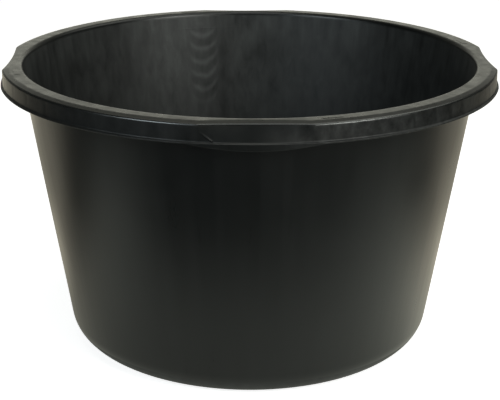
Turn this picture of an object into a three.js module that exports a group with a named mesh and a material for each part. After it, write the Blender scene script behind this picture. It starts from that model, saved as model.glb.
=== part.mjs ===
// Round mortar mixing tub, 90 litre class, injection moulded in black polyethylene.
// Millimetres, +Z up, origin at the centre of the base, front grip towards -Y.
// The tub is one moulding: floor, heel, wall and a folded rim with four grips and radial ribs.
// Each of those members is its own mesh, cut from its neighbours where the moulding is plain.
import * as THREE from "three";

// Driving dimensions.
const HEIGHT = 388.5;
const RIM_RADIUS = 334; // outermost edge of the lip between the grips
const BASE_RADIUS = 245.6; // outer cone of the wall, continued down to the base plane
const WALL_SLOPE = 0.159; // radius gained per millimetre of height, about 9 degrees
const WALL = 3.2; // thickness of the whole moulding
const HEEL_RADIUS = 40.5; // outside of the rounded bottom corner
const SEAM_GAP = 0.3; // clearance between members that meet on a curved face

// Floor: a flat foot ring carries the tub, and the panel inside it stands higher.
const FLOOR_RISE = 3;
const FOOT_INNER_RADIUS = 184;
const FLOOR_STEP_RUN = 8;
const FLOOR_EDGE_RADIUS = 204;

// Wall: the heel and the flange take over at these heights.
const WALL_BOTTOM = 36;
const WALL_TOP = HEIGHT - 10;

// Rim: flat flange, shallow sloping shoulder, tight corner, drafted skirt with a small flared lip.
const INNER_FILLET = 5;
const UNDER_FILLET = 2;
const FLANGE_EDGE_RADIUS = 311.5;
const FLAT_END_RADIUS = 322.5;
const CORNER_RADIUS = 330.9;
const CORNER_DROP = 2.2;
const CORNER_ROUND = 3;
const SKIRT_END_RADIUS = 331.4;
const SKIRT_END_DROP = 22.2;
const LIP_TOP_DROP = 23.5;
const LIP_LOW_DROP = 24.6;
const LIP_BOTTOM_DROP = 25.4;
const LIP_ROUND = 1;
const LIP_CROWN = 0.1; // how far the lip's face stands out between its edges

// Grips: four places, a quarter turn apart, where the rim is scooped in and an apron hangs down.
const GRIP_COUNT = 4;
const GRIP_SECTOR = 15; // half angle of a grip member, degrees
const SCOOP_HALF_ANGLE = 11.4;
const SCOOP_DEPTH = 10;
const APRON_HALF_ANGLE = 13.4;
const APRON_DEPTH = 7;
const APRON_INSET = 0.5;
const LIP_INSET = 1.8; // how far the lip follows the scoop

// Ribs under the rim: two mirrored rows of four in each quarter.
const RIB_PITCH = 7.7;
const RIBS_PER_QUARTER = 8;
const RIB_THICKNESS = 2;
const RIB_DEPTH = 20;
const RIB_CHAMFER = 3;

// Facets.
const RING_STEPS = 72;
const RING_STEP = 360 / RING_STEPS;
const GRIP_STEP = 2.5;
const ARC_STEPS = 5;
const FILLET_STEPS = 3;
const CORNER_STEPS = 2;

const QUARTER = 360 / GRIP_COUNT;
const DRAFT = Math.atan(WALL_SLOPE);
const radians = THREE.MathUtils.degToRad;
const quarterNames = ["front", "right", "rear", "left"];
const skirtNames = ["front_right", "rear_right", "rear_left", "front_left"];

const NEAR_BLACK = 0x232526;
const SATIN = 0.42; // roughness of the moulded surface

const plastic = () =>
  new THREE.MeshStandardMaterial({ color: NEAR_BLACK, roughness: SATIN, metalness: 0 });

const outerRadius = (z) => BASE_RADIUS + WALL_SLOPE * z;
const innerRadius = (z) => outerRadius(z) - WALL / Math.cos(DRAFT);

// Points of an arc in the radius-height plane, angles in radians from the outward direction.
function arc(centre, radius, from, to, steps) {
  return Array.from({ length: steps + 1 }, (_, i) => {
    const angle = from + ((to - from) * i) / steps;
    return [centre[0] + radius * Math.cos(angle), centre[1] + radius * Math.sin(angle)];
  });
}

// A full ring or disc: the profile is turned about +Z, with azimuth 0 at the front.
function turned(profile) {
  const points = profile.map(([r, z]) => new THREE.Vector2(r, z));
  if (profile[0][0] > 0) points.push(points[0].clone());
  return new THREE.LatheGeometry(points, RING_STEPS).rotateX(Math.PI / 2);
}

// A closed sector: profileAt(azimuth) gives the same number of points at every azimuth in degrees.
function sector(profileAt, from, to, step) {
  const count = Math.round((to - from) / step);
  const positions = [];
  const triangles = [];
  const size = profileAt(from).length;
  for (let i = 0; i <= count; i++) {
    const azimuth = from + ((to - from) * i) / count;
    const turn = radians(azimuth);
    for (const [r, z] of profileAt(azimuth)) {
      positions.push(r * Math.sin(turn), -r * Math.cos(turn), z);
    }
  }
  for (let i = 0; i < count; i++) {
    for (let j = 0; j < size; j++) {
      const a = i * size + j;
      const b = i * size + ((j + 1) % size);
      triangles.push(a, b, a + size, b, b + size, a + size);
    }
  }
  const outline = profileAt(from).map(([r, z]) => new THREE.Vector2(r, z));
  const last = count * size;
  for (const [a, b, c] of THREE.ShapeUtils.triangulateShape(outline, [])) {
    triangles.push(a, b, c, last + a, last + c, last + b);
  }
  const geometry = new THREE.BufferGeometry();
  geometry.setAttribute("position", new THREE.Float32BufferAttribute(positions, 3));
  geometry.setIndex(triangles);
  geometry.computeVertexNormals();
  return geometry;
}

// Centre of the heel's rounding: it touches the base plane and the outer cone.
const heelCentre = [
  outerRadius(HEEL_RADIUS) - HEEL_RADIUS / Math.cos(DRAFT),
  HEEL_RADIUS,
];

function floorPanel() {
  const stepRadius = FOOT_INNER_RADIUS - FLOOR_STEP_RUN;
  return turned([
    [0, FLOOR_RISE],
    [stepRadius, FLOOR_RISE],
    [FOOT_INNER_RADIUS, 0],
    [FLOOR_EDGE_RADIUS, 0],
    [FLOOR_EDGE_RADIUS, WALL],
    [FOOT_INNER_RADIUS, WALL],
    [stepRadius, FLOOR_RISE + WALL],
    [0, FLOOR_RISE + WALL],
  ]);
}

function heelRing() {
  const start = FLOOR_EDGE_RADIUS + SEAM_GAP;
  const bottom = -Math.PI / 2;
  return turned([
    [start, 0],
    ...arc(heelCentre, HEEL_RADIUS, bottom, -DRAFT, ARC_STEPS),
    [outerRadius(WALL_BOTTOM), WALL_BOTTOM],
    [innerRadius(WALL_BOTTOM), WALL_BOTTOM],
    ...arc(heelCentre, HEEL_RADIUS - WALL, -DRAFT, bottom, ARC_STEPS),
    [start, WALL],
  ]);
}

function sideWall() {
  return turned([
    [outerRadius(WALL_BOTTOM), WALL_BOTTOM],
    [outerRadius(WALL_TOP), WALL_TOP],
    [innerRadius(WALL_TOP), WALL_TOP],
    [innerRadius(WALL_BOTTOM), WALL_BOTTOM],
  ]);
}

// Rounding between the wall and a level face of the flange; side is 1 outside and -1 inside.
function rimFillet(radius, level, side) {
  const up = Math.PI / 2;
  if (side > 0) {
    const centre = [outerRadius(level - radius) + radius / Math.cos(DRAFT), level - radius];
    return arc(centre, radius, Math.PI - DRAFT, up, FILLET_STEPS);
  }
  const centre = [innerRadius(level - radius) + radius / Math.cos(DRAFT), level - radius];
  return arc(centre, radius, up, Math.PI - DRAFT, FILLET_STEPS);
}

function rimFlange() {
  return turned([
    [outerRadius(WALL_TOP), WALL_TOP],
    ...rimFillet(UNDER_FILLET, HEIGHT - WALL, 1),
    [FLANGE_EDGE_RADIUS, HEIGHT - WALL],
    [FLANGE_EDGE_RADIUS, HEIGHT],
    ...rimFillet(INNER_FILLET, HEIGHT, -1),
    [innerRadius(WALL_TOP), WALL_TOP],
  ]);
}

// Unit normals of a line's pieces, on the left of its direction.
function normals(line) {
  return line.slice(1).map(([r, z], i) => {
    const run = r - line[i][0];
    const rise = z - line[i][1];
    const length = Math.hypot(run, rise);
    return [-rise / length, run / length];
  });
}

// The same line, moved to its right by a distance, with mitred corners.
function moved(line, distance) {
  const sides = normals(line);
  return line.map(([r, z], i) => {
    const before = sides[Math.max(i - 1, 0)];
    const after = sides[Math.min(i, sides.length - 1)];
    const share = distance / (1 + before[0] * after[0] + before[1] * after[1]);
    return [r - share * (before[0] + after[0]), z - share * (before[1] + after[1])];
  });
}

// Outer line of the rim from the flange to the end of the skirt.
function rimLine(scoop, inset) {
  return [
    [FLANGE_EDGE_RADIUS + SEAM_GAP, HEIGHT],
    [FLAT_END_RADIUS - scoop, HEIGHT],
    [CORNER_RADIUS - scoop, HEIGHT - CORNER_DROP],
    [SKIRT_END_RADIUS - inset, HEIGHT - SKIRT_END_DROP],
  ];
}

// Rounding of the corner between shoulder and skirt.
function roundedCorner(line) {
  const [shoulder, skirt] = normals(line).slice(1);
  const centre = moved(line, CORNER_ROUND)[2];
  const angle = ([r, z]) => Math.atan2(z, r);
  return arc(centre, CORNER_ROUND, angle(shoulder), angle(skirt), CORNER_STEPS);
}

// Outline of the rim outside the flange, scooped in, with its lip set in and lengthened by an apron.
function rimOutline(scoop, inset, apron) {
  const line = rimLine(scoop, inset);
  const lip = RIM_RADIUS - inset;
  const bottom = HEIGHT - LIP_BOTTOM_DROP - apron;
  const face = lip - LIP_CROWN - (APRON_INSET * apron) / APRON_DEPTH;
  return [
    ...line.slice(0, 2),
    ...roundedCorner(line),
    line[3],
    [lip - LIP_CROWN, HEIGHT - LIP_TOP_DROP],
    [lip, HEIGHT - (LIP_TOP_DROP + LIP_LOW_DROP) / 2],
    [lip - LIP_CROWN, HEIGHT - LIP_LOW_DROP],
    [face - LIP_CROWN, HEIGHT - (LIP_LOW_DROP + LIP_BOTTOM_DROP) / 2],
    [face - LIP_ROUND, bottom],
    [lip - WALL - LIP_ROUND, bottom],
    ...moved(line, WALL).reverse(),
  ];
}

// Depth that falls away from the middle as a parabola and ends at the half angle.
function hump(depth, azimuth, halfAngle) {
  const share = azimuth / halfAngle;
  return depth * Math.max(0, 1 - share * share);
}

function gripOutline(azimuth) {
  return rimOutline(
    hump(SCOOP_DEPTH, azimuth, SCOOP_HALF_ANGLE),
    hump(LIP_INSET, azimuth, APRON_HALF_ANGLE),
    hump(APRON_DEPTH, azimuth, APRON_HALF_ANGLE),
  );
}

// Angle at the lip that keeps the seam gap to the neighbouring member.
const SEAM_ANGLE = THREE.MathUtils.radToDeg(SEAM_GAP / 2 / RIM_RADIUS);

const grip = () =>
  sector(gripOutline, -GRIP_SECTOR + SEAM_ANGLE, GRIP_SECTOR - SEAM_ANGLE, GRIP_STEP);

const skirt = () =>
  sector(
    () => rimOutline(0, 0, 0),
    GRIP_SECTOR + SEAM_ANGLE,
    QUARTER - GRIP_SECTOR - SEAM_ANGLE,
    RING_STEP,
  );

// One radial rib, drawn in the radius-height plane and given its thickness about azimuth 0.
function rib() {
  const [, shoulder, corner, end] = moved(rimLine(0, 0), WALL);
  const facet = Math.cos(radians(RING_STEP / 2));
  const top = HEIGHT - WALL - SEAM_GAP;
  const low = HEIGHT - RIB_DEPTH;
  const skirtSlope = (end[0] - corner[0]) / (corner[1] - end[1]);
  const reach = (z) => (corner[0] + skirtSlope * (corner[1] - z)) * facet - SEAM_GAP;
  const foot = (z) => outerRadius(z) + SEAM_GAP;
  const outline = new THREE.Shape(
    [
      [foot(low), low],
      [reach(low), low],
      [reach(corner[1]), corner[1] - SEAM_GAP],
      [shoulder[0] - SEAM_GAP, top],
      [foot(top) + RIB_CHAMFER, top],
      [foot(top - RIB_CHAMFER), top - RIB_CHAMFER],
    ].map(([r, z]) => new THREE.Vector2(r, z)),
  );
  return new THREE.ExtrudeGeometry(outline, { depth: RIB_THICKNESS, bevelEnabled: false })
    .translate(0, 0, -RIB_THICKNESS / 2)
    .rotateX(Math.PI / 2)
    .rotateZ(-Math.PI / 2);
}

const tub = new THREE.Group();

function add(name, geometry, azimuth = 0) {
  const mesh = new THREE.Mesh(geometry, plastic());
  mesh.name = name;
  mesh.rotation.z = radians(azimuth);
  tub.add(mesh);
}

add("floor_panel", floorPanel());
add("heel_ring", heelRing());
add("side_wall", sideWall());
add("rim_flange", rimFlange());
quarterNames.forEach((name, i) => add("grip_" + name, grip(), i * QUARTER));
skirtNames.forEach((name, i) => add("rim_skirt_" + name, skirt(), i * QUARTER));
for (let quarter = 0; quarter < GRIP_COUNT; quarter++) {
  for (let i = 0; i < RIBS_PER_QUARTER; i++) {
    const offset = (i - (RIBS_PER_QUARTER - 1) / 2) * RIB_PITCH;
    const number = String(quarter * RIBS_PER_QUARTER + i + 1).padStart(2, "0");
    add("rim_rib_" + number, rib(), (quarter + 0.5) * QUARTER + offset);
  }
}

export default tub;
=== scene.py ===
"""Round mortar mixing tub in black polyethylene, dressed around its CAD frame.

Every member of the moulding gets a fine mesh with rounded edges, sink marks and a slight warp,
in the place that its CAD solid holds. Lengths are metres and angles are degrees of azimuth,
0 at the front grip (-Y) and 90 at the right grip (+X). A drop is a height measured downwards
from the top of the rim.
"""

import math

import bpy
import numpy as np
from mathutils import Matrix, Vector


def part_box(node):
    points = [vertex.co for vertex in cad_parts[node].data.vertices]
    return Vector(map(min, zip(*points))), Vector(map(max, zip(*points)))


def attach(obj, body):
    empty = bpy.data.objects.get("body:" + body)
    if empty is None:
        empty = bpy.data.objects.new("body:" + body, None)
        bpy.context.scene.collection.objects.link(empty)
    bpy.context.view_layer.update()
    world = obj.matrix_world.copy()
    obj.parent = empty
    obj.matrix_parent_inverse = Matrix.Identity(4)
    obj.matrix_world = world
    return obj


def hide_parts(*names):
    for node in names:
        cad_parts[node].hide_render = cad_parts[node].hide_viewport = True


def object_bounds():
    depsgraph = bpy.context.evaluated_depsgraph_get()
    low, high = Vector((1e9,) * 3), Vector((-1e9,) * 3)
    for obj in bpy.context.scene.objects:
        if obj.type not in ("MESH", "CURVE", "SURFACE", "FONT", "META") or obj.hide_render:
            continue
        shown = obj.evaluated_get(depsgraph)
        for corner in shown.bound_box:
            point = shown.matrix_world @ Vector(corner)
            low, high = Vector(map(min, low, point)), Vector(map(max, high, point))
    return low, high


MM = 0.001

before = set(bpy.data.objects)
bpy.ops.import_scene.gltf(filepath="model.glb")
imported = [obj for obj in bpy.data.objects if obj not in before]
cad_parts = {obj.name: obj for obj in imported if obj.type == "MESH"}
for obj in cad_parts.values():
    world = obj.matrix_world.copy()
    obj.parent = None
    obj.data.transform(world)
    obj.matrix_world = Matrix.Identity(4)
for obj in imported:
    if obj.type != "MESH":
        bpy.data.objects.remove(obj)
cad_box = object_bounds()

# Sizes that the frame gives.
HEIGHT = cad_box[1][2]
WALL_LOW, WALL_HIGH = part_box("side_wall")
WALL_BOTTOM, WALL_TOP = WALL_LOW[2], WALL_HIGH[2]
WALL_SLOPE = (WALL_HIGH[0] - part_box("heel_ring")[1][0]) / (WALL_TOP - WALL_BOTTOM)
BASE_RADIUS = WALL_HIGH[0] - WALL_SLOPE * WALL_TOP
FLOOR_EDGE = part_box("floor_panel")[1][0]
FLANGE_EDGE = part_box("rim_flange")[1][0]
DRAFT = math.atan(WALL_SLOPE)

# Sizes that the frame's boxes don't show.
WALL = 3.2 * MM
HEEL_RADIUS = 40.5 * MM
FLOOR_RISE = 3 * MM
FOOT_INNER_RADIUS = 184 * MM
FLOOR_STEP_RUN = 8 * MM
GATE_RADIUS = 7 * MM
GATE_DROP = 1.2 * MM
GATE_EDGE = 2 * MM
INNER_FILLET = 5 * MM
UNDER_FILLET = 2 * MM
RIM_RADIUS = 334 * MM
FLAT_END_RADIUS = 322.5 * MM
CORNER_RADIUS = 330.9 * MM
CORNER_DROP = 2.2 * MM
SHOULDER_BEND = 1.2 * MM
CORNER_BEND = 2.1 * MM
SKIRT_END_RADIUS = 331.4 * MM
SKIRT_END_DROP = 22.5 * MM
LIP_CENTRE_DROP = 24.1 * MM
LIP_BOTTOM_DROP = 25.4 * MM
LIP_ROUND = 0.8 * MM
SCOOP_DEPTH = 10 * MM
SCOOP_HALF_ANGLE = 11.4
SCOOP_EDGE_SOFTNESS = 0.3 * MM
LIP_INSET = 1.8 * MM
APRON_DEPTH = 7 * MM
APRON_HALF_ANGLE = 13.4
APRON_INSET = 0.5 * MM
GRIP_SECTOR = 15.0
QUARTER = 90.0
RIB_PITCH = 7.7
RIBS_PER_QUARTER = 8
RIB_THICKNESS = 2 * MM
RIB_DEPTH = 20 * MM
RIB_FILLET = 1.1 * MM
RIB_FILLET_REACH = 0.6 * RIB_FILLET
RIB_TAPER = 0.15
RIB_NOSE = 0.96

# Fineness of the meshes: degrees between sections of the rim, points of a rib and how much
# they crowd towards its lower edge, and the angle from which an edge stays sharp.
RIM_STEP = 0.25
CREASE_STEP = 0.05
RIB_POINTS_ACROSS, RIB_POINTS_UP = 17, 19
RIB_CROWDING = 1.3
SHARP_ANGLE = 35.0

# Marks of the moulding.
SINK_DEPTH = 0.20 * MM
SINK_HALF_WIDTH = 3.2 * MM
MOULD_LINE_DROP = 24 * MM
MOULD_LINE_RISE = 0.12 * MM
MOULD_LINE_HALF_HEIGHT = 0.5 * MM
MOULD_LINE_CENTRE = 191.5
MOULD_LINE_HALF_ANGLE = 10.5
PAD_OFFSET = 16.2
PAD_RADIUS = 315 * MM
PAD_HALF_LENGTH = 13 * MM
PAD_HALF_WIDTH = 3.4 * MM
PAD_RISE = 0.35 * MM
PAD_EDGE = 1.2 * MM
# Waves of the warp: size, waves around, turn over the height and phase. The slow ones grow
# with height, and the quick ones are largest half way up.
SLOW_WARP = ((0.30 * MM, 2, 0, 0.6), (0.18 * MM, 3, 0, -1.1))
QUICK_WARP = ((0.16 * MM, 7, 5, 0.0), (0.10 * MM, 11, -9, 0.8), (0.05 * MM, 17, 14, 0.0))
# A dent in the front grip: azimuth and drop of its upper and lower ends, its rise at the lower
# end, the share of that at the upper end, how fast it fades past both, and its lean to a side.
CREASE_TOP = (-10.75, 12.7 * MM)
CREASE_END = (-8.75, 20.8 * MM)
CREASE_RISE = 1.3 * MM
CREASE_HALF_WIDTH = 1.6 * MM
CREASE_TOP_SHARE = 0.3
CREASE_FADE = 0.4
CREASE_LEAN = 0.8

# Stacks of arcs that the melt left on the inside: azimuth and strength.
FLOW_COLUMNS = ((192.9, 1.0), (322.0, 0.6), (71.0, 0.7))
FLOW_HALF_WIDTH = 4.8
FLOW_LEAN = -3 * MM
FLOW_PITCH = 20.5 * MM
FLOW_SAG = 19 * MM
FLOW_SAG_ROUNDNESS = 0.55
FLOW_RAGGEDNESS = 1.6 * MM
FLOW_UNEVENNESS = 5 * MM
FLOW_SHARPNESS = 2.2
FLOW_DULLNESS = 0.3
FLOW_SIDES = (1.05, 0.5)
# Cloudy upright areas of the inside: azimuth, half width and strength.
CLOUDY_AREAS = ((204.0, 9.5, 0.9), (180.0, 7.0, 0.55), (300.0, 14.0, 0.5), (40.0, 12.0, 0.6))
CLOUDY_BASE, CLOUDY_RAGS = 0.55, 0.55
# A dark upright seam inside, a duller place on the wall under the rim, and the shiniest
# stretches of the shoulder's corner, either side of the front: azimuth and half width.
SEAM = (186.6, 1.5)
DULL = (45.0, 6.0)
DULL_DROP, DULL_HALF_HEIGHT = 112 * MM, 38 * MM
POLISHED = (22, 18)
# The skirt is mottled except within some degrees of the grips: a little on the tub's left half,
# and more on its right half, which sets in between two azimuths in radians.
GRIP_CLEARING = 9
MOTTLE_LEFT, MOTTLE_ADDED_RIGHT = 0.35, 0.65
MOTTLE_CHANGE = (-0.5, 0.3)
# Pale wisps that hang from the rim on the inside.
CURTAIN_BASE, CURTAIN_STREAKS = 0.4, 0.9

# Where places of the tub begin or end: pairs of drops, radii or heights, from 0 to full.
INSIDE_DEPTH = (0.0, 0.5 * MM)
INSIDE_DROP = (3 * MM, 8 * MM)
TOP_DROP = (1.5 * MM, 0.4 * MM)
SKIRT_RADIUS = (322 * MM, 325 * MM)
SKIRT_DROP = (2.5 * MM, 4 * MM)
CORNER_FROM_RADIUS = (318 * MM, 320 * MM)
CORNER_FROM_DROP = (1.2 * MM, 2.0 * MM)
CORNER_TO_DROP = (5 * MM, 3.5 * MM)
UPRIGHT_RADIUS = (190 * MM, 236 * MM)
FLOW_FROM_DROP = (12 * MM, 34 * MM)
FLOW_TO_DROP = (150 * MM, 110 * MM)
CURTAIN_DROP = (62 * MM, 14 * MM)
SEAM_HEIGHT = (120 * MM, 200 * MM)
SCUFF_HEIGHT = (14 * MM, 3 * MM)
SCUFF_PATCHES = (0.3, 1.2)

# Noises of the plastic: coordinates, scale, detail and distortion. The drawn and ragged
# coordinates run around the tub and are stretched along its height by these shares.
STRETCH = {"drawn": 0.07, "ragged": 0.5}
NOISES = {
    "clouds": ("place", 9.0, 3.0, 0.6),
    "patches": ("place", 70.0, 3.0, 0.0),
    "streaks": ("drawn", 55.0, 3.0, 0.0),
    "rags": ("ragged", 70.0, 4.0, 0.4),
    "fine_streaks": ("drawn", 260.0, 2.0, 0.0),
    "grain": ("place", 1400.0, 2.0, 0.0),
    "peel": ("place", 150.0, 2.0, 0.0),
}
# The share of the streaks and rags that's left on the level floor, where they'd run inwards.
FLOOR_STREAKS = 0.15
# Recipes of the plastic: a base value, then amounts of patterns. Where an amount has several
# patterns, they multiply. The tone runs from the deep colour, 0, to the pale one, 1, and the
# relief is in millimetres.
DEEP_COLOUR = (0.0024, 0.0029, 0.0029, 1)
PALE_COLOUR = (0.0470, 0.0510, 0.0495, 1)
TONE = (0.035, (0.02, "clouds"), (0.015, "streaks"), (0.11, "inside"), (0.08, "inside", "rags"),
        (0.05, "inside", "clouds"), (0.26, "blotches"), (0.22, "arcs"), (0.18, "curtain"),
        (-0.11, "seam"), (0.08, "mottled", "rags"), (0.25, "scuffs"))
ROUGHNESS = (0.31, (0.03, "clouds"), (0.02, "streaks"), (0.012, "fine_streaks"),
             (0.25, "inside"), (0.03, "inside", "rags"), (0.08, "on_top", "patches"),
             (0.07, "on_skirt", "off_grip"), (-0.06, "on_corner"), (0.04, "mottled", "rags"),
             (0.11, "mottled"), (0.12, "scuffs"), (0.01, "grain"))
GLOSS = (0.5, (0.08, "inside", "rags"), (0.9, "on_corner", "off_grip", "polished"),
         (-0.25, "on_corner", "off_grip"), (0.16, "mottled", "peel"), (0.20, "arcs"),
         (0.12, "curtain"), (-0.12, "seam"), (0.12, "mottled", "rags"), (-0.22, "dull"),
         (0.14, "on_top", "patches"), (0.12, "on_top", "peel"))
RELIEF = (0.0, (0.0015, "grain"), (0.008, "peel"), (0.02, "streaks"), (0.003, "fine_streaks"),
          (0.025, "inside", "rags"), (0.04, "arcs"), (0.05, "mottled", "streaks"),
          (0.06, "mottled", "rags"), (0.05, "mottled", "peel"), (0.04, "on_top", "patches"),
          (0.02, "on_top", "peel"))

# Camera: its place before the whole stand is turned about the tub's axis, and its angles.
CAMERA_LENS = 96.88
CAMERA_PLACE = (0, -1.7805, 0.8057)
CAMERA_TURN, CAMERA_YAW, CAMERA_PITCH, CAMERA_ROLL = -1.3, -0.040, 19.288, 0.275

# Studio: azimuth, elevation, angular radius, radiance and tint of each round soft light.
LIGHT_DISTANCE = 2.6
SOFT_LIGHTS = {
    "key": (41.0, 23.0, 14.4, 7.3, (0.97, 1.0, 0.94)),
    "fill": (317.0, 25.0, 12.7, 5.4, (0.88, 1.0, 1.05)),
    "top": (103.0, 56.0, 25.0, 1.3, (0.97, 1.0, 0.92)),
    "overhead": (0.0, 70.0, 18.0, 2.2, (0.97, 1.0, 0.95)),
}
FLOOR_HALF_SIZE = 14.0
FLOOR_COLOUR = (0.84, 0.83, 0.83, 1)
FLOOR_ROUGHNESS = 0.9
FLOOR_GLOW = 0.80
# What the tub mirrors of the floor: strengths and limits of the strip behind the tub, what its
# far part adds, and a pool under the tub.
FLOOR_BEHIND = 0.56
FLOOR_BEHIND_FROM = (0.0, 0.28)
FLOOR_BEHIND_ASIDE = (1.80, 1.30)
FLOOR_FAR = 0.95
FLOOR_FAR_FROM = (0.6, 1.3)
FLOOR_NEAR = 0.41
FLOOR_NEAR_RADIUS = (0.66, 0.36)
# Centre x and y, spread and strength of brighter places on the floor.
FLOOR_POOLS = ((0.465, -0.105, 0.30, 0.65), (-0.575, -0.26, 0.20, 0.55), (1.5, -2.4, 1.2, 0.7))
FLOOR_BACK_TINT = (1.07, 1.0, 0.79, 1)
FLOOR_FRONT_TINT = (0.95, 1.0, 0.87, 1)
FLOOR_TINT_CHANGE = (-0.3, 0.2)
# The wall behind the tub. Limits aside are shares of the distance ahead, and limits of height
# are sines of the elevation.
BACKDROP = 0.11
BACKDROP_ASIDE = (3.0, 1.2)
BACKDROP_MIDDLE = (0.46, 0.22)
BACKDROP_TOP = 0.38
BACKDROP_TOP_HEIGHT = (0.40, 0.75)
BACKDROP_GLOW = 0.90
BACKDROP_GLOW_HEIGHT = (0.24, 0.125)
BACKDROP_FOOT = 0.38
BACKDROP_FOOT_ASIDE = (1.1, 0.5)
BACKDROP_FOOT_HEIGHT = (0.24, 0.08)
BACKDROP_TINT = (1.0, 1.0, 0.86, 1)
BACKDROP_SEEN = 0.95
WHITE = (1, 1, 1, 1)
AMBIENT = 0.018

GRIPS = ("grip_front", "grip_right", "grip_rear", "grip_left")
SKIRTS = ("rim_skirt_front_right", "rim_skirt_rear_right", "rim_skirt_rear_left",
          "rim_skirt_front_left")


def outer_radius(z):
    return BASE_RADIUS + WALL_SLOPE * z


def inner_radius(z):
    return outer_radius(z) - WALL / math.cos(DRAFT)


def warp(turn, z):
    """How far the thin moulding stands out of round, for azimuths in radians."""
    share = z / HEIGHT
    belly = np.sin(math.pi * np.clip(share, 0, 1))

    def waves(table):
        return sum(size * np.cos(around * turn + rise * share + phase)
                   for size, around, rise, phase in table)

    return share * waves(SLOW_WARP) + belly * waves(QUICK_WARP)


def eased(share):
    """Smooth step of numbers from 0 to 1."""
    return share * share * (3 - 2 * share)


def arc(centre, radius, start, end, steps):
    """Points of an arc in the radius-height plane, from start to end radians."""
    angles = np.linspace(start, end, steps + 1)
    return np.column_stack((centre[0] + radius * np.cos(angles),
                            centre[1] + radius * np.sin(angles)))


def line(start, end, steps):
    """Points from start up to, but not including, end."""
    share = np.linspace(0, 1, steps, endpoint=False)[:, None]
    return np.array(start) * (1 - share) + np.array(end) * share


def placed(points, azimuths):
    """World positions of profile points (azimuth, point, 2) turned to their azimuths."""
    turn = np.radians(azimuths)[:, None]
    height = points[..., 1]
    radius = points[..., 0] + warp(turn, height)
    return np.stack((radius * np.sin(turn), -radius * np.cos(turn), height), axis=-1)


def shell(name, first, second, azimuths, full=False):
    """Closed shell between two surfaces, both (azimuth, point, 2) arrays.

    In the radius-height plane the plastic lies on the left of the first surface's points, so
    that the faces look outwards.
    """
    loop = np.concatenate((first, second[:, ::-1]), axis=1)
    count, size = loop.shape[:2]
    vertices = placed(loop, azimuths).reshape(-1, 3)
    index = np.arange(count * size).reshape(count, size)
    following = np.roll(index, -1, axis=0) if full else index[1:]
    here = index if full else index[:-1]
    quads = np.stack((here, following, np.roll(following, -1, axis=1), np.roll(here, -1, axis=1)),
                     axis=-1).reshape(-1, 4)
    faces = quads.tolist()
    if not full:
        half = size // 2
        for row, flip in ((index[0], True), (index[-1], False)):
            for i in range(half - 1):
                face = [row[i], row[size - 1 - i], row[size - 2 - i], row[i + 1]]
                faces.append([int(v) for v in (face[::-1] if flip else face)])
    mesh = bpy.data.meshes.new(name)
    mesh.from_pydata(vertices.tolist(), [], faces)
    return finished(name, mesh)


def finished(name, mesh):
    """Object of a mesh, smooth but for its real corners."""
    mesh.validate()
    mesh.shade_smooth()
    mesh.set_sharp_from_angle(angle=math.radians(SHARP_ANGLE))
    piece = bpy.data.objects.new(name, mesh)
    bpy.context.scene.collection.objects.link(piece)
    return piece


def repeated(profile, azimuths):
    """The same profile at every azimuth."""
    return np.broadcast_to(profile, (len(azimuths),) + profile.shape)


heel_centre = (outer_radius(HEEL_RADIUS) - HEEL_RADIUS / math.cos(DRAFT), HEEL_RADIUS)
ring = np.arange(0, 360, 1.0)
fine_ring = np.arange(0, 360, 0.5)
rib_azimuths = np.array([(quarter + 0.5) * QUARTER + (i - (RIBS_PER_QUARTER - 1) / 2) * RIB_PITCH
                         for quarter in range(4) for i in range(RIBS_PER_QUARTER)])


def sinks(azimuths, radius):
    """How deep the surface over the ribs has sunk, per azimuth."""
    offset = np.radians(np.asarray(azimuths)[:, None] - rib_azimuths) * radius
    return SINK_DEPTH * np.exp(-(offset / SINK_HALF_WIDTH) ** 2).sum(axis=1)


def floor_panel():
    """Floor with its raised middle inside the foot ring, and the gate's disc below it."""
    step = FOOT_INNER_RADIUS - FLOOR_STEP_RUN

    def side(z):
        rise = FLOOR_RISE + z
        gate = np.linspace(0.5 * MM, 2 * GATE_RADIUS, 15)
        middle = np.concatenate((gate, np.linspace(3 * GATE_RADIUS, step - 4 * MM, 18)))
        run = np.linspace(step - 2 * MM, FOOT_INNER_RADIUS + 2 * MM, 14)
        ease = eased(np.clip((run - step) / FLOOR_STEP_RUN, 0, 1))
        rim = np.linspace(FOOT_INNER_RADIUS + 5 * MM, FLOOR_EDGE, 4)
        return np.concatenate((np.column_stack((middle, np.full(len(middle), rise))),
                               np.column_stack((run, rise - FLOOR_RISE * ease)),
                               np.column_stack((rim, np.full(len(rim), z)))))

    under, top = side(0.0), side(WALL)
    under[:, 1] -= GATE_DROP * eased(np.clip((GATE_RADIUS - under[:, 0]) / GATE_EDGE + 0.5, 0, 1))
    return shell("floor_panel_skin", repeated(under, ring), repeated(top, ring), ring, full=True)


def heel():
    """Rounded bottom corner between floor and wall."""
    def side(radius_at, level, bend):
        return np.concatenate((
            line((FLOOR_EDGE, level), (heel_centre[0], level), 3),
            arc(heel_centre, bend, -math.pi / 2, -DRAFT, 24),
            [(radius_at(WALL_BOTTOM), WALL_BOTTOM)]))

    outer = side(outer_radius, 0, HEEL_RADIUS)
    inner = side(inner_radius, WALL, HEEL_RADIUS - WALL)
    return shell("heel_skin", repeated(outer, ring), repeated(inner, ring), ring, full=True)


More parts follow.
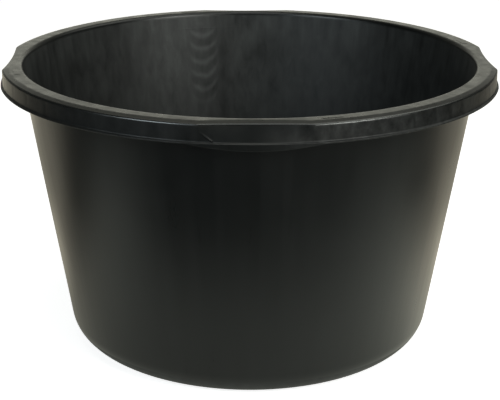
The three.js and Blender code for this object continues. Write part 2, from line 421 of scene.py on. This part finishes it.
def side_wall():
    """Wall with the faint ring that the mould's split left on its inside."""
    ring_height = HEIGHT - MOULD_LINE_DROP
    plain = np.linspace(WALL_BOTTOM, WALL_TOP, 55)
    close = ring_height + np.linspace(-1.5, 1.5, 13) * MM
    heights = np.sort(np.concatenate((plain, close)))
    outer = np.column_stack((outer_radius(heights), heights))
    rise = MOULD_LINE_RISE * np.exp(-((heights - ring_height) / MOULD_LINE_HALF_HEIGHT) ** 2)
    inner = repeated(np.column_stack((inner_radius(heights), heights)), fine_ring).copy()
    offset = (fine_ring - MOULD_LINE_CENTRE + 180) % 360 - 180
    strength = 1 / (1 + (offset / MOULD_LINE_HALF_ANGLE) ** 6)
    inner[..., 0] -= strength[:, None] * rise
    return shell("wall_skin", repeated(outer, fine_ring), inner, fine_ring, full=True)


def flange():
    """Rounding of the mouth and the inner part of the flat flange."""
    def side(radius_at, level, bend):
        centre = (radius_at(level - bend) + bend / math.cos(DRAFT), level - bend)
        return np.concatenate((
            line((radius_at(WALL_TOP), WALL_TOP), (radius_at(centre[1]), centre[1]), 2),
            arc(centre, bend, math.pi - DRAFT, math.pi / 2, 10),
            [(FLANGE_EDGE, level)]))

    outer = side(outer_radius, HEIGHT - WALL, UNDER_FILLET)
    inner = side(inner_radius, HEIGHT, INNER_FILLET)
    return shell("flange_skin", repeated(outer, fine_ring), repeated(inner, fine_ring), fine_ring,
                 full=True)


def pads(azimuths, radius):
    """Rise of the blank raised pads on the flange, one beside each grip."""
    offset = (azimuths - PAD_OFFSET + QUARTER / 2) % QUARTER - QUARTER / 2
    along = np.abs(np.radians(offset) * PAD_RADIUS)
    edge = np.maximum(along - PAD_HALF_LENGTH, np.abs(radius - PAD_RADIUS) - PAD_HALF_WIDTH)
    return PAD_RISE * eased(np.clip(0.5 - edge / PAD_EDGE, 0, 1))


def crease(azimuths, drop):
    """Rise of the dent that crosses the left end of the front grip."""
    share = (drop - CREASE_TOP[1]) / (CREASE_END[1] - CREASE_TOP[1])
    middle = CREASE_TOP[0] + share * (CREASE_END[0] - CREASE_TOP[0])
    away = np.radians((azimuths - middle + 180) % 360 - 180) * RIM_RADIUS / CREASE_HALF_WIDTH
    ends = np.clip(1 + CREASE_FADE - abs(2 * share - 1), 0, CREASE_FADE) / CREASE_FADE
    growth = CREASE_TOP_SHARE + (1 - CREASE_TOP_SHARE) * share
    return CREASE_RISE * ends * growth * np.exp(-away ** 2) * (1 - CREASE_LEAN * away)


def normals(points):
    """Outward unit normals of the pieces of rim lines, (azimuth, piece, 2)."""
    step = np.diff(points, axis=1)
    step /= np.linalg.norm(step, axis=2, keepdims=True)
    return np.stack((-step[..., 1], step[..., 0]), axis=-1)


def thickened(points, distance):
    """The rim lines moved inwards by a distance, with mitred corners."""
    sides = normals(points)
    before = np.concatenate((sides[:, :1], sides), axis=1)
    after = np.concatenate((sides, sides[:, -1:]), axis=1)
    miter = (before + after) / (1 + (before * after).sum(axis=2, keepdims=True))
    return points - distance * miter


def rounded(points, reaches):
    """Rim lines with smooth bends at their two inner corners, finely divided.

    A straight piece after a bend starts a little way on, at the share first of its length,
    because the bend already has the point at its start.
    """
    steps = np.diff(points, axis=1)
    steps /= np.linalg.norm(steps, axis=2, keepdims=True)
    starts = [points[:, i + 1] - steps[:, i] * reach for i, reach in enumerate(reaches)]
    ends = [points[:, i + 1] + steps[:, i + 1] * reach for i, reach in enumerate(reaches)]
    out = []

    def straight(a, b, count, first=0.0):
        for share in np.linspace(first, 1, count):
            out.append(a * (1 - share) + b * share)

    def bend(a, corner, b, count):
        for t in np.linspace(0, 1, count + 1)[1:]:
            out.append(a * (1 - t) ** 2 + corner * 2 * t * (1 - t) + b * t * t)

    straight(points[:, 0], starts[0], 12)
    bend(starts[0], points[:, 1], ends[0], 5)
    straight(ends[0], starts[1], 6, first=0.17)
    bend(starts[1], points[:, 2], ends[1], 9)
    straight(ends[1], points[:, 3], 14, first=0.07)
    return np.stack(out, axis=1)


def rim_surfaces(azimuths, scoop, inset, apron):
    """Outer and inner surfaces of the rim outside the flange, per azimuth."""
    count = len(azimuths)

    def fixed(r, z):
        return np.column_stack((np.broadcast_to(r, count), np.broadcast_to(z, count)))

    guide = np.stack((fixed(FLANGE_EDGE, HEIGHT), fixed(FLAT_END_RADIUS - scoop, HEIGHT),
                      fixed(CORNER_RADIUS - scoop, HEIGHT - CORNER_DROP),
                      fixed(SKIRT_END_RADIUS - inset, HEIGHT - SKIRT_END_DROP)), axis=1)
    top = rounded(guide, (SHOULDER_BEND, CORNER_BEND))
    under = rounded(thickened(guide, WALL), (SHOULDER_BEND, CORNER_BEND))

    level = top[..., 1] > HEIGHT - 0.01 * MM
    top[..., 1] += np.where(level, pads(azimuths[:, None], top[..., 0]), 0)
    drop = HEIGHT - top[..., 1]
    on_skirt = np.clip((drop - CORNER_DROP) / (SKIRT_END_DROP - CORNER_DROP), 0, 1)
    fade = np.sin(math.pi * on_skirt)
    push = crease(azimuths[:, None], drop) - sinks(azimuths, RIM_RADIUS)[:, None] * fade
    top += normals(guide)[:, 2:3] * push[..., None]

    lip = RIM_RADIUS - inset
    bottom = HEIGHT - LIP_BOTTOM_DROP - apron
    face = lip - APRON_INSET * apron / APRON_DEPTH
    rows = []
    for share in np.linspace(0.15, 1, 7):
        rows.append(fixed(guide[:, 3, 0] + (lip - guide[:, 3, 0]) * eased(share),
                          HEIGHT - SKIRT_END_DROP * (1 - share) - LIP_CENTRE_DROP * share))
    for share in np.linspace(0.15, 1, 6):
        rows.append(fixed(lip + (face - lip) * share,
                          (HEIGHT - LIP_CENTRE_DROP) * (1 - share) + (bottom + LIP_ROUND) * share))
    for angle in np.radians(np.linspace(15, 90, 6)):
        rows.append(fixed(face - LIP_ROUND * (1 - math.cos(angle)),
                          bottom + LIP_ROUND * (1 - math.sin(angle))))

    foot = lip - WALL
    under_rows = []
    for share in np.linspace(0.1, 1, 13):
        under_rows.append(under[:, -1] * (1 - share) + fixed(foot, bottom + LIP_ROUND) * share)
    for angle in np.radians(np.linspace(15, 90, 6)):
        under_rows.append(fixed(foot + LIP_ROUND * (1 - math.cos(angle)),
                                bottom + LIP_ROUND * (1 - math.sin(angle))))
    return (np.concatenate((top, np.stack(rows, axis=1)), axis=1),
            np.concatenate((under, np.stack(under_rows, axis=1)), axis=1))


def hump(depth, offsets, half_angle):
    """Parabola over the middle, rounded off to nothing at the half angle."""
    curve = depth * (1 - (offsets / half_angle) ** 2)
    return 0.5 * (curve + np.sqrt(curve * curve + SCOOP_EDGE_SOFTNESS ** 2))


def grip(index):
    """Scooped grip with its apron; the front one also has the dent."""
    offsets = np.arange(-GRIP_SECTOR, GRIP_SECTOR + 0.01, RIM_STEP)
    if index == 0:
        close = np.arange(CREASE_TOP[0] - 1, CREASE_END[0] + 1, CREASE_STEP)
        offsets = np.unique(np.round(np.concatenate((offsets, close)), 3))
    scoop = hump(SCOOP_DEPTH, offsets, SCOOP_HALF_ANGLE)
    inset = hump(LIP_INSET, offsets, APRON_HALF_ANGLE)
    apron = hump(APRON_DEPTH, offsets, APRON_HALF_ANGLE)
    azimuths = offsets + index * QUARTER
    outer, inner = rim_surfaces(azimuths, scoop, inset, apron)
    return shell(GRIPS[index] + "_skin", inner, outer, azimuths)


def skirt(index):
    """Shoulder, skirt and lip between two grips."""
    azimuths = index * QUARTER + np.arange(GRIP_SECTOR, QUARTER - GRIP_SECTOR + 0.01, RIM_STEP)
    none = np.zeros(len(azimuths))
    outer, inner = rim_surfaces(azimuths, none, none, none)
    return shell(SKIRTS[index] + "_skin", inner, outer, azimuths)


def rib(number):
    """Radial rib with a rounded lower edge, flaring into wall, flange and skirt."""
    across, along = RIB_POINTS_ACROSS, RIB_POINTS_UP
    guide = np.array([[(FLANGE_EDGE, HEIGHT), (FLAT_END_RADIUS, HEIGHT),
                       (CORNER_RADIUS, HEIGHT - CORNER_DROP),
                       (SKIRT_END_RADIUS, HEIGHT - SKIRT_END_DROP)]])
    _, shoulder, corner, end = thickened(guide, WALL)[0]
    top, low = HEIGHT - WALL, HEIGHT - RIB_DEPTH
    heights = low + (top - low) * np.linspace(0, 1, along) ** RIB_CROWDING
    inner = outer_radius(heights)
    on_skirt = corner[0] + (end[0] - corner[0]) * (corner[1] - heights) / (corner[1] - end[1])
    on_shoulder = shoulder[0] + (corner[0] - shoulder[0]) * (top - heights) / (top - corner[1])
    outer = np.minimum(on_skirt, on_shoulder)
    share = (1 - np.cos(math.pi * np.linspace(0, 1, across))) / 2
    r = inner[:, None] * (1 - share) + outer[:, None] * share
    z = np.repeat(heights[:, None], across, axis=1)
    from_low = z - low

    def flare(gap):
        return RIB_FILLET * np.exp(-gap / RIB_FILLET_REACH)

    half = RIB_THICKNESS / 2 * (1 - RIB_TAPER + RIB_TAPER * from_low / (top - low))
    half = half + flare(r - inner[:, None]) + flare(outer[:, None] - r) + flare(top - z)
    nose = np.clip(from_low / RIB_THICKNESS, 0, 1)
    half = half * np.sqrt(1 - (1 - nose) ** 2 * RIB_NOSE)
    turn = math.radians(rib_azimuths[number])
    forward = np.array((math.sin(turn), -math.cos(turn)))
    side = np.array((math.cos(turn), math.sin(turn)))
    radius = r + warp(turn, z)
    vertices, faces = [], []
    for sign in (1, -1):
        flat = radius[..., None] * forward + sign * half[..., None] * side
        vertices.append(np.concatenate((flat, z[..., None]), axis=2).reshape(-1, 3))
    index = np.arange(along * across).reshape(along, across)
    far = along * across
    for i in range(along - 1):
        for j in range(across - 1):
            a, b, c, d = index[i, j], index[i, j + 1], index[i + 1, j + 1], index[i + 1, j]
            faces.append((a, d, c, b))
            faces.append((a + far, b + far, c + far, d + far))
    border = np.concatenate((index[0], index[1:, -1], index[-1, -2::-1], index[-2:0:-1, 0]))
    for a, b in zip(border, np.roll(border, -1)):
        faces.append((a, b, b + far, a + far))
    mesh = bpy.data.meshes.new(f"rib_{number + 1:02d}_skin")
    mesh.from_pydata(np.concatenate(vertices).tolist(), [], [[int(v) for v in f] for f in faces])
    return finished(mesh.name, mesh)


class Graph:
    """Short calls that add shader nodes to a tree and return their output sockets."""

    def __init__(self, tree):
        self.tree = tree

    def node(self, kind, values=(), **settings):
        item = self.tree.nodes.new("ShaderNode" + kind)
        for key, value in settings.items():
            setattr(item, key, value)
        for name, value in dict(values).items():
            self.feed(item.inputs[name], value)
        return item

    def feed(self, socket, value):
        if isinstance(value, bpy.types.NodeSocket):
            self.tree.links.new(value, socket)
        else:
            socket.default_value = value

    def math(self, operation, *values):
        return self.node("Math", enumerate(values), operation=operation).outputs[0]

    def total(self, first, *others):
        for other in others:
            first = self.math("ADD", first, other)
        return first

    def times(self, first, *others):
        for other in others:
            first = self.math("MULTIPLY", first, other)
        return first

    def step(self, value, low, high):
        """0 before low, 1 past high, smooth between; low may be the larger of the two."""
        rising = high > low
        limits = {"Value": value, "From Min": min(low, high), "From Max": max(low, high),
                  "To Min": float(not rising), "To Max": float(rising)}
        return self.node("MapRange", limits, interpolation_type="SMOOTHSTEP").outputs[0]

    def bell(self, value, centre, width):
        """1 at the centre, falling off as a Gaussian."""
        share = self.math("DIVIDE", self.math("SUBTRACT", value, centre), width)
        return self.math("EXPONENT", self.times(share, share, -1.0))

    def length(self, x, y, least=0.0):
        square = self.total(self.times(x, x), self.times(y, y), least)
        return self.math("SQRT", square)

    def join(self, x, y, z):
        return self.node("CombineXYZ", enumerate((x, y, z))).outputs[0]

    def split(self, vector):
        return self.node("SeparateXYZ", {0: vector}).outputs

    def noise(self, vector, scale, detail, distortion):
        """Noise about 0, from about -1 to 1."""
        values = {"Vector": vector, "Scale": scale, "Detail": detail, "Distortion": distortion}
        out = self.node("TexNoise", values).outputs["Fac"]
        return self.math("MULTIPLY_ADD", out, 4.0, -2.0)

    def mix(self, share, first, second):
        item = self.node("Mix", data_type="RGBA")
        self.feed(item.inputs[0], share)
        self.feed(item.inputs[6], first)
        self.feed(item.inputs[7], second)
        return item.outputs[2]

    def recipe(self, patterns, base, *parts):
        """A base value plus amounts of named patterns, multiplied where there are several."""
        return self.total(base, *[self.times(*[patterns[name] for name in names], amount)
                                  for amount, *names in parts])


def away_from(graph, azimuth, centre, half_width):
    """Azimuth measured from a centre, in half widths; both of those are degrees."""
    turned = graph.math("SUBTRACT", azimuth, math.radians(centre))
    wrapped = graph.math("WRAP", turned, math.pi, -math.pi)
    return graph.math("DIVIDE", wrapped, math.radians(half_width))


def upright_band(graph, azimuth, centre, half_width):
    """Band around one azimuth, at every height; centre and half width are degrees."""
    return graph.bell(away_from(graph, azimuth, centre, half_width), 0.0, 1.0)


def flow_marks(graph, azimuth, height, drop, ragged, uneven):
    """Bright and dull arcs, stacked in narrow columns on the inside of the wall."""
    waves = []
    for centre, strength in FLOW_COLUMNS:
        side = away_from(graph, azimuth, centre, FLOW_HALF_WIDTH)
        square = graph.times(side, side)
        roundness = graph.math("MULTIPLY_ADD", square, FLOW_SAG_ROUNDNESS, 1 - FLOW_SAG_ROUNDNESS)
        sag = graph.times(square, roundness, FLOW_SAG)
        lean = graph.times(side, FLOW_LEAN)
        lifted = graph.total(height, graph.times(sag, -1.0), graph.times(lean, -1.0),
                             graph.times(ragged, FLOW_RAGGEDNESS),
                             graph.times(uneven, FLOW_UNEVENNESS))
        wave = graph.math("SINE", graph.times(lifted, 2 * math.pi / FLOW_PITCH))
        crest = graph.math("POWER", graph.math("MULTIPLY_ADD", wave, 0.5, 0.5), FLOW_SHARPNESS)
        edge = graph.step(graph.math("ABSOLUTE", side), *FLOW_SIDES)
        waves.append(graph.times(graph.total(crest, -FLOW_DULLNESS), edge, strength))
    band = graph.times(graph.step(drop, *FLOW_TO_DROP), graph.step(drop, *FLOW_FROM_DROP))
    return graph.times(graph.total(*waves), band)


def plastic_patterns(graph):
    """Places and patterns that the plastic's recipes name: places 0 to 1, noises -1 to 1."""
    place = graph.node("TexCoord").outputs["Object"]
    x, y, z = graph.split(place)
    drop = graph.math("SUBTRACT", HEIGHT, z)
    radius = graph.length(x, y, least=1e-6)
    azimuth = graph.math("ARCTAN2", x, graph.times(y, -1.0))
    around_x = graph.times(graph.math("DIVIDE", x, radius), RIM_RADIUS)
    around_y = graph.times(graph.math("DIVIDE", y, radius), RIM_RADIUS)
    spaces = {"place": place}
    for name, share in STRETCH.items():
        spaces[name] = graph.join(around_x, around_y, graph.times(z, share))

    at = {}
    upright = graph.math("MULTIPLY_ADD", graph.step(radius, *UPRIGHT_RADIUS), 1 - FLOOR_STREAKS,
                         FLOOR_STREAKS)
    for name, (space, *settings) in NOISES.items():
        noise = graph.noise(spaces[space], *settings)
        at[name] = graph.times(noise, upright) if space in STRETCH else noise

    wall_middle = graph.math("MULTIPLY_ADD", z, WALL_SLOPE, BASE_RADIUS - WALL / 2)
    depth = graph.math("SUBTRACT", wall_middle, radius)
    inside = graph.times(graph.step(depth, *INSIDE_DEPTH), graph.step(drop, *INSIDE_DROP))
    at["inside"] = inside
    at["on_top"] = graph.step(drop, *TOP_DROP)
    at["on_skirt"] = graph.times(graph.step(radius, *SKIRT_RADIUS), graph.step(drop, *SKIRT_DROP))
    at["on_corner"] = graph.times(graph.step(radius, *CORNER_FROM_RADIUS),
                                  graph.step(drop, *CORNER_TO_DROP),
                                  graph.step(drop, *CORNER_FROM_DROP))
    from_grip = graph.math("PINGPONG", azimuth, math.radians(QUARTER / 2))
    at["off_grip"] = graph.math("SUBTRACT", 1.0,
                                graph.bell(from_grip, 0.0, math.radians(GRIP_CLEARING)))
    at["polished"] = graph.bell(graph.math("ABSOLUTE", azimuth), *map(math.radians, POLISHED))
    mottling = graph.math("MULTIPLY_ADD", graph.step(azimuth, *MOTTLE_CHANGE),
                          MOTTLE_ADDED_RIGHT, MOTTLE_LEFT)
    at["mottled"] = graph.times(at["on_skirt"], at["off_grip"], mottling)

    at["arcs"] = graph.times(
        flow_marks(graph, azimuth, z, drop, at["patches"], at["clouds"]), inside)
    cloudy = graph.total(*[graph.times(upright_band(graph, azimuth, centre, width), strength)
                           for centre, width, strength in CLOUDY_AREAS])
    at["blotches"] = graph.times(cloudy, upright, inside, graph.total(
        CLOUDY_BASE, graph.times(at["rags"], CLOUDY_RAGS)))
    at["curtain"] = graph.times(graph.step(drop, *CURTAIN_DROP), inside, graph.total(
        CURTAIN_BASE, graph.times(at["streaks"], CURTAIN_STREAKS)))
    at["seam"] = graph.times(upright_band(graph, azimuth, *SEAM), inside,
                             graph.step(z, *SEAM_HEIGHT))
    at["dull"] = graph.times(upright_band(graph, azimuth, *DULL),
                             graph.bell(drop, DULL_DROP, DULL_HALF_HEIGHT))
    at["scuffs"] = graph.times(graph.step(z, *SCUFF_HEIGHT),
                               graph.step(at["patches"], *SCUFF_PATCHES))
    return at


def new_material(name):
    """Material with its node graph and its principled shader."""
    material = bpy.data.materials.new(name)
    material.use_nodes = True
    graph = Graph(material.node_tree)
    return material, graph, next(n for n in graph.tree.nodes if n.type == "BSDF_PRINCIPLED")


def polyethylene():
    """Near-black moulded polyethylene: satin, clouded, streaked along the pull of the mould."""
    material, graph, shader = new_material("black_polyethylene")
    patterns = plastic_patterns(graph)
    tone = graph.recipe(patterns, *TONE)
    graph.feed(shader.inputs["Base Color"], graph.mix(tone, DEEP_COLOUR, PALE_COLOUR))
    graph.feed(shader.inputs["Roughness"], graph.recipe(patterns, *ROUGHNESS))
    graph.feed(shader.inputs["Specular IOR Level"], graph.recipe(patterns, *GLOSS))
    relief = graph.recipe(patterns, *RELIEF)
    bump = graph.node("Bump", {"Height": relief, "Distance": MM, "Strength": 1.0})
    graph.feed(shader.inputs["Normal"], bump.outputs["Normal"])
    return material


def dress(piece, nodes, material):
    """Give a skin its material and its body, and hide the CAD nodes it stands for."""
    piece.data.materials.append(material)
    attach(piece, "root")
    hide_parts(*nodes)


def camera():
    """Camera at the photograph's viewing angle."""
    data = bpy.data.cameras.new("camera")
    data.sensor_width = 36
    data.lens = CAMERA_LENS
    data.clip_end = 50
    item = bpy.data.objects.new("camera", data)
    bpy.context.scene.collection.objects.link(item)
    item.matrix_world = (Matrix.Rotation(math.radians(CAMERA_TURN), 4, "Z")
                         @ Matrix.Translation(CAMERA_PLACE)
                         @ Matrix.Rotation(math.radians(CAMERA_YAW), 4, "Z")
                         @ Matrix.Rotation(math.radians(90 - CAMERA_PITCH), 4, "X")
                         @ Matrix.Rotation(math.radians(CAMERA_ROLL), 4, "Z"))
    bpy.context.scene.camera = item


def plain_sheet(name):
    """Level square at the height of the floor."""
    size = FLOOR_HALF_SIZE
    mesh = bpy.data.meshes.new(name)
    mesh.from_pydata([(-size, -size, 0), (size, -size, 0), (size, size, 0), (-size, size, 0)], [],
                     [(0, 1, 2, 3)])
    item = bpy.data.objects.new(name, mesh)
    bpy.context.scene.collection.objects.link(item)
    return item


def floor():
    """Pale floor, with a little light of its own so that shadows on it stay soft."""
    item = plain_sheet("floor")
    item.visible_glossy = False
    material, _, shader = new_material("floor_paint")
    shader.inputs["Base Color"].default_value = FLOOR_COLOUR
    shader.inputs["Roughness"].default_value = FLOOR_ROUGHNESS
    shader.inputs["Specular IOR Level"].default_value = 0.0
    shader.inputs["Emission Color"].default_value = WHITE
    shader.inputs["Emission Strength"].default_value = FLOOR_GLOW
    item.data.materials.append(material)


def floor_reflection():
    """What the tub mirrors of the studio floor: pale behind and beside it, dim in front."""
    item = plain_sheet("floor_reflection")
    item.visible_camera = False
    item.visible_diffuse = False
    item.visible_shadow = False
    material, graph, _ = new_material("floor_reflection")
    graph.tree.nodes.clear()
    x, y, _ = graph.split(graph.node("TexCoord").outputs["Object"])
    behind = graph.times(
        graph.step(y, *FLOOR_BEHIND_FROM),
        graph.step(graph.math("ABSOLUTE", x), *FLOOR_BEHIND_ASIDE),
        graph.math("MULTIPLY_ADD", graph.step(y, *FLOOR_FAR_FROM), FLOOR_FAR, FLOOR_BEHIND))
    near = graph.times(graph.step(graph.length(x, y), *FLOOR_NEAR_RADIUS), FLOOR_NEAR)
    pools = [graph.times(graph.bell(x, centre_x, spread), graph.bell(y, centre_y, spread), strength)
             for centre_x, centre_y, spread, strength in FLOOR_POOLS]
    tint = graph.mix(graph.step(y, *FLOOR_TINT_CHANGE), FLOOR_FRONT_TINT, FLOOR_BACK_TINT)
    glow = graph.node("Emission", {"Color": tint, "Strength": graph.total(behind, near, *pools)})
    out = graph.node("OutputMaterial")
    graph.feed(out.inputs["Surface"], glow.outputs[0])
    item.data.materials.append(material)


def soft_light(name, azimuth, elevation, spread, radiance, tint):
    """Round area light that shines at the tub's middle and looks equally bright from anywhere."""
    radius = LIGHT_DISTANCE * math.tan(math.radians(spread))
    data = bpy.data.lights.new(name, "AREA")
    data.shape = "DISK"
    data.size = 2 * radius
    data.energy = radiance * math.pi * math.pi * radius * radius
    data.color = tint
    item = bpy.data.objects.new(name, data)
    item.visible_camera = False
    turn, lift = math.radians(azimuth), math.radians(elevation)
    level = math.cos(lift)
    toward = Vector((level * math.sin(turn), -level * math.cos(turn), math.sin(lift)))
    place = Matrix.Translation(toward * LIGHT_DISTANCE + Vector((0, 0, HEIGHT / 2)))
    item.matrix_world = place @ toward.to_track_quat("Z", "Y").to_matrix().to_4x4()
    bpy.context.scene.collection.objects.link(item)


def studio():
    """Soft lights and a backdrop that's white to the camera.

    What the tub mirrors is a dark room with a dim wall behind the tub. The wall has a bright
    band across its middle, a lift towards its top and a wide strip at its foot.
    """
    world = bpy.data.worlds.new("studio")
    bpy.context.scene.world = world
    world.use_nodes = True
    graph = Graph(world.node_tree)
    background = world.node_tree.nodes["Background"]
    x, y, z = graph.split(graph.node("TexCoord").outputs["Generated"])
    ahead = graph.math("MAXIMUM", y, 0.01)
    aside = graph.math("DIVIDE", graph.math("ABSOLUTE", x), ahead)
    middle = graph.step(aside, *BACKDROP_MIDDLE)
    wall = graph.times(graph.step(aside, *BACKDROP_ASIDE), BACKDROP)
    lift = graph.times(middle, graph.step(z, *BACKDROP_TOP_HEIGHT), BACKDROP_TOP)
    band = graph.times(middle, graph.bell(z, *BACKDROP_GLOW_HEIGHT), BACKDROP_GLOW)
    foot = graph.times(graph.step(aside, *BACKDROP_FOOT_ASIDE),
                       graph.step(z, *BACKDROP_FOOT_HEIGHT), BACKDROP_FOOT)
    light = graph.total(wall, lift, band, foot, AMBIENT)
    seen = graph.node("LightPath").outputs["Is Camera Ray"]
    graph.feed(background.inputs["Color"], graph.mix(seen, BACKDROP_TINT, WHITE))
    strength = graph.math("MAXIMUM", light, graph.times(seen, BACKDROP_SEEN))
    graph.feed(background.inputs["Strength"], strength)
    for name, values in SOFT_LIGHTS.items():
        soft_light(name, *values)
    bpy.context.scene.view_settings.view_transform = "Standard"


plastic = polyethylene()
camera()
floor()
floor_reflection()
studio()
dress(floor_panel(), ["floor_panel"], plastic)
dress(heel(), ["heel_ring"], plastic)
dress(side_wall(), ["side_wall"], plastic)
dress(flange(), ["rim_flange"], plastic)
for index in range(4):
    dress(grip(index), [GRIPS[index]], plastic)
    dress(skirt(index), [SKIRTS[index]], plastic)
for number in range(4 * RIBS_PER_QUARTER):
    dress(rib(number), [f"rim_rib_{number + 1:02d}"], plastic)
